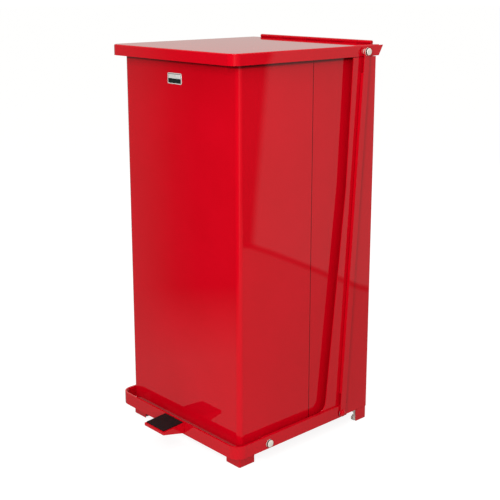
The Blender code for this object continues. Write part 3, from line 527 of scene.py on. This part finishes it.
def turnedTree():
    # one closed turned shape, from its shank's end to its head's crown, on every point of the input
    tree, entry, leave = startTree("turnedFasteners", turnedSizes)
    link = tree.links.new

    given = {key: entry.outputs[key] for key in turnedSizes}
    given["domedHeight"] = mathNode(tree, "MULTIPLY", given["headHeight"], given["doming"])

    def sizes(*parts):
        # a sum of named inputs, each with its share
        total = None
        for key, share in parts:
            term = mathNode(tree, "MULTIPLY", given[key], share)
            total = term if total is None else mathNode(tree, "ADD", total, term)
        return total

    base = (("washerSheet", 1), ("neckHeight", 1))
    profile = [
        # distance from the axis, height over the seat
        (None, (("shankLength", -1),)),
        ((("shankRadius", 0.8),), (("shankLength", -1),)),
        ((("shankRadius", 1),), (("shankLength", -1), ("shankRadius", 0.2))),
        ((("shankRadius", 1),), None),
        ((("washerRadius", 1),), None),
        ((("washerRadius", 1),), (("washerSheet", 0.8),)),
        ((("washerRadius", rimShare),), (("washerSheet", 1),)),
        ((("neckRadius", 1),), (("washerSheet", 1),)),
        ((("neckRadius", 1),), base),
        ((("headRadius", rimShare),), base),
        ((("headRadius", 1),), base + (("headHeight", 0.08),)),
    ]
    crown = ((1, 0.55), (0.97, 0.70), (0.88, 0.84), (0.72, 0.93), (0.5, 0.975), (0.26, 0.994))
    for share, flat in crown:
        # between a flat-topped cap and a full dome
        domed = max(math.sqrt(1 - share * share), flatCrown)
        rise = (("headHeight", flat), ("domedHeight", domed - flat))
        profile.append(((("headRadius", share),), base + rise))
    profile.append((None, base + (("headHeight", 1),)))
    neckRing = 7            # the ring where the neck starts
    grid = tree.nodes.new("GeometryNodeMeshGrid")
    grid.inputs["Size X"].default_value = 1
    grid.inputs["Size Y"].default_value = 1
    grid.inputs["Vertices X"].default_value = len(profile)
    link(mathNode(tree, "ADD", entry.outputs["around"], 1), grid.inputs["Vertices Y"])
    split = tree.nodes.new("ShaderNodeSeparateXYZ")
    link(tree.nodes.new("GeometryNodeInputPosition").outputs[0], split.inputs[0])
    along = mathNode(tree, "MULTIPLY_ADD", split.outputs["X"], len(profile) - 1, (len(profile) - 1) / 2)
    ring = mathNode(tree, "ROUND", along)
    turn = mathNode(tree, "MULTIPLY", split.outputs["Y"], -math.tau)

    def pick(column):
        switch = tree.nodes.new("GeometryNodeIndexSwitch")
        switch.data_type = "FLOAT"
        while len(switch.index_switch_items) < len(profile):
            switch.index_switch_items.new()
        link(ring, switch.inputs["Index"])
        for place, row in enumerate(profile):
            if row[column] is not None:
                link(sizes(*row[column]), switch.inputs[place + 1])
        return switch.outputs[0]

    radius = pick(0)
    spot = tree.nodes.new("ShaderNodeCombineXYZ")
    link(mathNode(tree, "MULTIPLY", radius, mathNode(tree, "COSINE", turn)), spot.inputs["X"])
    link(mathNode(tree, "MULTIPLY", radius, mathNode(tree, "SINE", turn)), spot.inputs["Y"])
    link(pick(1), spot.inputs["Z"])
    bend = tree.nodes.new("GeometryNodeSetPosition")
    mark = tree.nodes.new("GeometryNodeStoreNamedAttribute")
    mark.data_type = "BOOLEAN"
    mark.domain = "FACE"
    mark.inputs["Name"].default_value = "neck"
    off = mathNode(tree, "ABSOLUTE", mathNode(tree, "SUBTRACT", along, neckRing + 0.5))
    # the groove's wall and both its faces, which take the painted shade
    link(mathNode(tree, "LESS_THAN", off, 1.3), mark.inputs["Value"])
    link(grid.outputs["Mesh"], mark.inputs["Geometry"])
    link(mark.outputs["Geometry"], bend.inputs["Geometry"])
    link(spot.outputs[0], bend.inputs["Position"])
    close = tree.nodes.new("GeometryNodeMergeByDistance")
    close.inputs["Distance"].default_value = weldDistance
    link(bend.outputs[0], close.inputs["Geometry"])
    facing = tree.nodes.new("GeometryNodeInputNamedAttribute")
    facing.data_type = "FLOAT_VECTOR"
    facing.inputs["Name"].default_value = "facing"
    aim = tree.nodes.new("FunctionNodeAlignRotationToVector")
    aim.axis = "Z"
    link(facing.outputs[0], aim.inputs["Vector"])
    copies = tree.nodes.new("GeometryNodeInstanceOnPoints")
    link(entry.outputs["Geometry"], copies.inputs["Points"])
    link(close.outputs[0], copies.inputs["Instance"])
    link(aim.outputs[0], copies.inputs["Rotation"])
    return closeTree(tree, entry, leave, copies.outputs["Instances"])


turned = turnedTree()
smallRivet = {
    "shankRadius": 0.0016, "washerRadius": 0.0032, "washerSheet": 0.0002, "headHeight": 0.0012,
    "doming": 0.7, "around": 20, "look": "redPaint",
}
fasteners = {
    # piece: the nodes it stands for, the way its head faces, its sizes
    "lidBolts": (["lid_pivot_bolt_left", "lid_pivot_bolt_right"], "x", {
        "shankRadius": 0.003, "washerRadius": 0.0076, "washerSheet": 0.0010, "neckRadius": 0.0036,
        "neckHeight": 0.0022, "headRadius": 0.0068, "headHeight": 0.0023, "doming": 0.25, "around": 40,
        "look": "nickelSteel"}),
    "bailBolts": (["bail_pivot_bolt_left", "bail_pivot_bolt_right"], "x", {
        "shankRadius": 0.003, "washerRadius": 0.0082, "washerSheet": 0.0010, "neckRadius": 0.0040,
        "neckHeight": 0.0022, "headRadius": 0.0072, "headHeight": 0.0023, "doming": 0.25, "around": 40,
        "look": "nickelSteel"}),
    "rodFootRivetLeft": (["rod_foot_rivet_left"], "x", {
        "shankRadius": 0.003, "washerRadius": 0.0068, "washerSheet": 0.0004, "headHeight": 0.0036,
        "doming": 0.9, "around": 40, "look": "redPaint"}),
    "leafRivets": (["leaf_rivet_1", "leaf_rivet_2", "leaf_rivet_3"], "y", smallRivet),
    "frameRivets": (["frame_rivet_left_1", "frame_rivet_left_2",
                     "frame_rivet_right_1", "frame_rivet_right_2"], "-x", smallRivet),
    "pedalRivets": (["pedal_rivet_left", "pedal_rivet_right"], "-y", smallRivet),
    "rimBumpers": (["bumper_front_left", "bumper_front_right",
                    "bumper_rear_left", "bumper_rear_right"], "z", {
        "shankRadius": 0.0044, "washerRadius": 0.0045, "washerSheet": 0.0003, "headHeight": 0.0016,
        "around": 28, "look": "blackRubber"}),
    # the front glides in black rubber: painted shade on the same glide that is zinc at the rear
    "frontGlides": (["glide_pad_front_left", "glide_pad_front_right"], "z", {
        "shankRadius": 0.0068, "washerRadius": 0.007, "washerSheet": 0.0012, "neckRadius": 0.0064,
        "neckHeight": 0.0006, "headRadius": 0.0069, "headHeight": 0.0036, "around": 36,
        "look": "blackRubber"}),
}
fasteners["rodFootRivetRight"] = (["rod_foot_rivet_right"],) + fasteners["rodFootRivetLeft"][1:]
# the same glide in zinc at the rear, where the front ones are black as painted shade
fasteners["rearGlides"] = (["glide_pad_rear_left", "glide_pad_rear_right"], "z",
                           {**fasteners["frontGlides"][2], "look": "zincSteel"})


def growFasteners(name, replaced, way, s):
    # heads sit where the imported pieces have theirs, facing away from the middle of the bin
    if "neckHeight" not in s:        # a plain head, with no groove over its rim
        rim = s["washerRadius"]
        s = {**s, "neckHeight": 0.0, "neckRadius": rim * rimShare, "headRadius": rim}
    axis = "xyz".index(way[-1])
    spots, facings = [], []
    length = 0
    for node in replaced:
        low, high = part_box(node)
        middle = [(a + b) / 2 for a, b in zip(low, high)]
        sign = -1 if way[0] == "-" else 1
        if axis == 0:
            sign *= 1 if middle[0] > 0 else -1
        rise = s["washerSheet"] + s["neckHeight"] + s["headHeight"]
        middle[axis] = (high[axis] - rise) if sign > 0 else (low[axis] + rise)
        length = high[axis] - low[axis] - rise
        spots.append(middle)
        facings += [sign if place == axis else 0 for place in range(3)]
    mesh = bpy.data.meshes.new(name)
    mesh.from_pydata(spots, [], [])
    mesh.attributes.new("facing", "FLOAT_VECTOR", "POINT").data.foreach_set("vector", facings)
    values = {key: value for key, value in s.items() if key != "look"}
    values.update(shankLength=length, finish=looks[s["look"]], neckFinish=looks["neckShadow"])
    piece = growPiece(name, mesh, turned, values, angles["turnedSmooth"])
    standFor(piece, *replaced)


for name, (replaced, way, s) in fasteners.items():
    growFasteners(name, replaced, way, s)
print("fasteners, bumpers and glides grown:", len(fasteners))


tread = {
    "pebbleRadius": 0.0010, "pebbleRise": 0.00045, "spacing": 0.00205, "leastScale": 0.6, "seed": 7,
}
pebblesPerSquareMetre = 600000
topFacing = 0.95        # faces whose normal points up at least this much carry pebbles


def treadTree():
    # pebbles scattered over the top of the rubber sheet
    tree, entry, leave = startTree("pebbledSheet", tread)
    link = tree.links.new
    split = tree.nodes.new("ShaderNodeSeparateXYZ")
    link(tree.nodes.new("GeometryNodeInputNormal").outputs[0], split.inputs[0])
    scatter = tree.nodes.new("GeometryNodeDistributePointsOnFaces")
    scatter.distribute_method = "POISSON"
    link(entry.outputs["Geometry"], scatter.inputs["Mesh"])
    link(mathNode(tree, "GREATER_THAN", split.outputs["Z"], topFacing), scatter.inputs["Selection"])
    link(entry.outputs["spacing"], scatter.inputs["Distance Min"])
    scatter.inputs["Density Max"].default_value = pebblesPerSquareMetre
    link(entry.outputs["seed"], scatter.inputs["Seed"])
    pebble = tree.nodes.new("GeometryNodeMeshUVSphere")
    pebble.inputs["Segments"].default_value = 8
    pebble.inputs["Rings"].default_value = 4
    link(entry.outputs["pebbleRadius"], pebble.inputs["Radius"])
    flat = tree.nodes.new("ShaderNodeCombineXYZ")
    flat.inputs["X"].default_value = 1
    flat.inputs["Y"].default_value = 1
    squash = mathNode(tree, "DIVIDE", entry.outputs["pebbleRise"], entry.outputs["pebbleRadius"])
    link(squash, flat.inputs["Z"])
    press = tree.nodes.new("GeometryNodeTransform")
    link(pebble.outputs["Mesh"], press.inputs["Geometry"])
    link(flat.outputs[0], press.inputs["Scale"])
    size = tree.nodes.new("FunctionNodeRandomValue")
    link(entry.outputs["leastScale"], size.inputs[2])
    size.inputs[3].default_value = 1
    link(entry.outputs["seed"], size.inputs["Seed"])
    copies = tree.nodes.new("GeometryNodeInstanceOnPoints")
    link(scatter.outputs["Points"], copies.inputs["Points"])
    link(scatter.outputs["Rotation"], copies.inputs["Rotation"])
    link(press.outputs["Geometry"], copies.inputs["Instance"])
    link(size.outputs[1], copies.inputs["Scale"])
    both = tree.nodes.new("GeometryNodeJoinGeometry")
    link(entry.outputs["Geometry"], both.inputs[0])
    link(copies.outputs["Instances"], both.inputs[0])
    return closeTree(tree, entry, leave, both.outputs[0])


treadValues = {**tread, "finish": looks["treadRubber"], "neckFinish": looks["treadRubber"]}
sheet = mergedCopy("pedal_tread")
piece = growPiece("treadSheet", sheet, treadTree(), treadValues, angles["treadSmooth"])
standFor(piece, "pedal_tread")
print("tread grown:", len(piece.data.polygons), "faces")


badge = {
    "rim": 0.0016, "corner": 0.003, "leastCorner": 0.0008, "steps": 6,
    "pocket": 0.0004, "outerEase": 0.0003, "innerEase": 0.0002, "easeDepth": 0.0001,
    "bandShare": 0.50, "bandGap": 0.0009, "bandRise": 0.00015, "bandSink": 0.00002,
}


def roundedOutline(x0, z0, x1, z1, radius, steps):
    points = []
    for cx, cz, start in ((x1 - radius, z1 - radius, 0), (x0 + radius, z1 - radius, 90),
                          (x0 + radius, z0 + radius, 180), (x1 - radius, z0 + radius, 270)):
        for i in range(steps + 1):
            a = math.radians(start + 90 * i / steps)
            points.append((cx + radius * math.cos(a), cz + radius * math.sin(a)))
    return points


def buildBadge(s):
    # a rimmed plate with a dark enamel pocket and a plain light band across its upper part
    low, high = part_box("badge_plate")
    rear = high[1]
    face = low[1]
    bm = bmesh.new()

    def ring(inset, y, bottom=None):
        x0, x1 = low[0] + inset, high[0] - inset
        z0, z1 = (low[2] + inset if bottom is None else bottom), high[2] - inset
        radius = max(s["corner"] - inset, s["leastCorner"])
        outline = roundedOutline(x0, z0, x1, z1, radius, s["steps"])
        return [bm.verts.new((x, y, z)) for x, z in outline]

    def close(rings, cover):
        count = len(rings[0])
        for a, b in zip(rings, rings[1:]):
            for i in range(count):
                j = (i + 1) % count
                bm.faces.new((a[i], a[j], b[j], b[i])).material_index = 0
        bm.faces.new(rings[0]).material_index = 0
        bm.faces.new(rings[-1]).material_index = cover

    floor = face + s["pocket"]
    outer, inside, depth = s["outerEase"], s["innerEase"], s["easeDepth"]
    close([ring(0, rear), ring(0, face + outer), ring(outer, face), ring(s["rim"] - inside, face),
           ring(s["rim"], face + depth), ring(s["rim"], floor)], 1)
    inner = s["rim"] + s["bandGap"]
    bottom = low[2] + (high[2] - low[2]) * (1 - s["bandShare"])
    front = face + s["bandRise"]
    close([ring(inner, floor - s["bandSink"], bottom), ring(inner, front + depth, bottom),
           ring(inner + inside, front, bottom + inside)], 0)
    bmesh.ops.recalc_face_normals(bm, faces=bm.faces)
    mesh = bpy.data.meshes.new("badgeFace")
    bm.to_mesh(mesh)
    bm.free()
    mesh.materials.append(looks["badgeSilver"])
    mesh.materials.append(looks["badgeEnamel"])
    mesh.shade_smooth()
    mesh.set_sharp_from_angle(angle=math.radians(angles["sheetSmooth"]))
    standFor(newPiece("badgeFace", mesh), "badge_plate")


buildBadge(badge)
print("badge made")


ownLooks = {
    "hinge_pin": "redPaint",
    # the front glide studs in black rubber: painted shade
    "glide_stud_front_left": "blackRubber", "glide_stud_front_right": "blackRubber",
}
for node, slot in slotOf.items():
    mesh = nodes[node].data
    mesh.materials.clear()
    mesh.materials.append(looks[ownLooks.get(node, slotLooks[slot])])
print("finishes laid on the pieces that keep their own shape")
